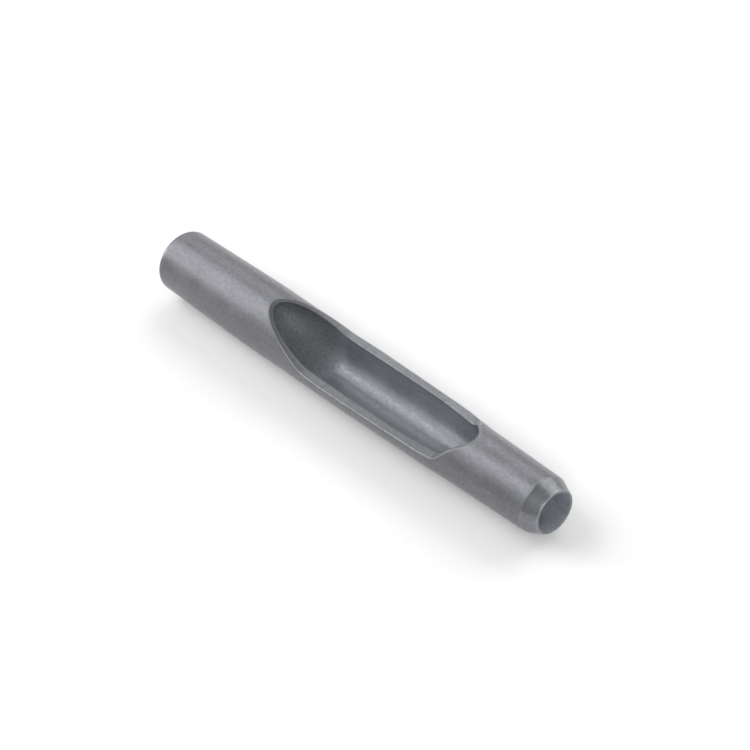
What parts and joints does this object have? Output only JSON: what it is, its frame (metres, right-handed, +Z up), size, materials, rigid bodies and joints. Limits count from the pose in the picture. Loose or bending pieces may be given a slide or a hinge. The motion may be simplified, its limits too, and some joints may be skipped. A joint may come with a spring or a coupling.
{
  "type": "drive hole punch",
  "caption": "Round drive punch for cutting small holes in leather and soft sheet, with a solid struck end, a long side slot that clears the slugs and a bevelled tubular cutting edge.",
  "frame": {"origin": "under the middle of the tool's length and width, level with its lowest line", "axes": "+X along the bar toward the cutting edge, +Z up out of the slot, +Y across the slot"},
  "size_m": [0.1016, 0.0136, 0.0132],
  "materials": {
    "tool_steel": "satin grey phosphate over hardened tool steel"
  },
  "bodies": {
    "root": {"punch_body": "tool_steel"}
  },
  "joints": []
}
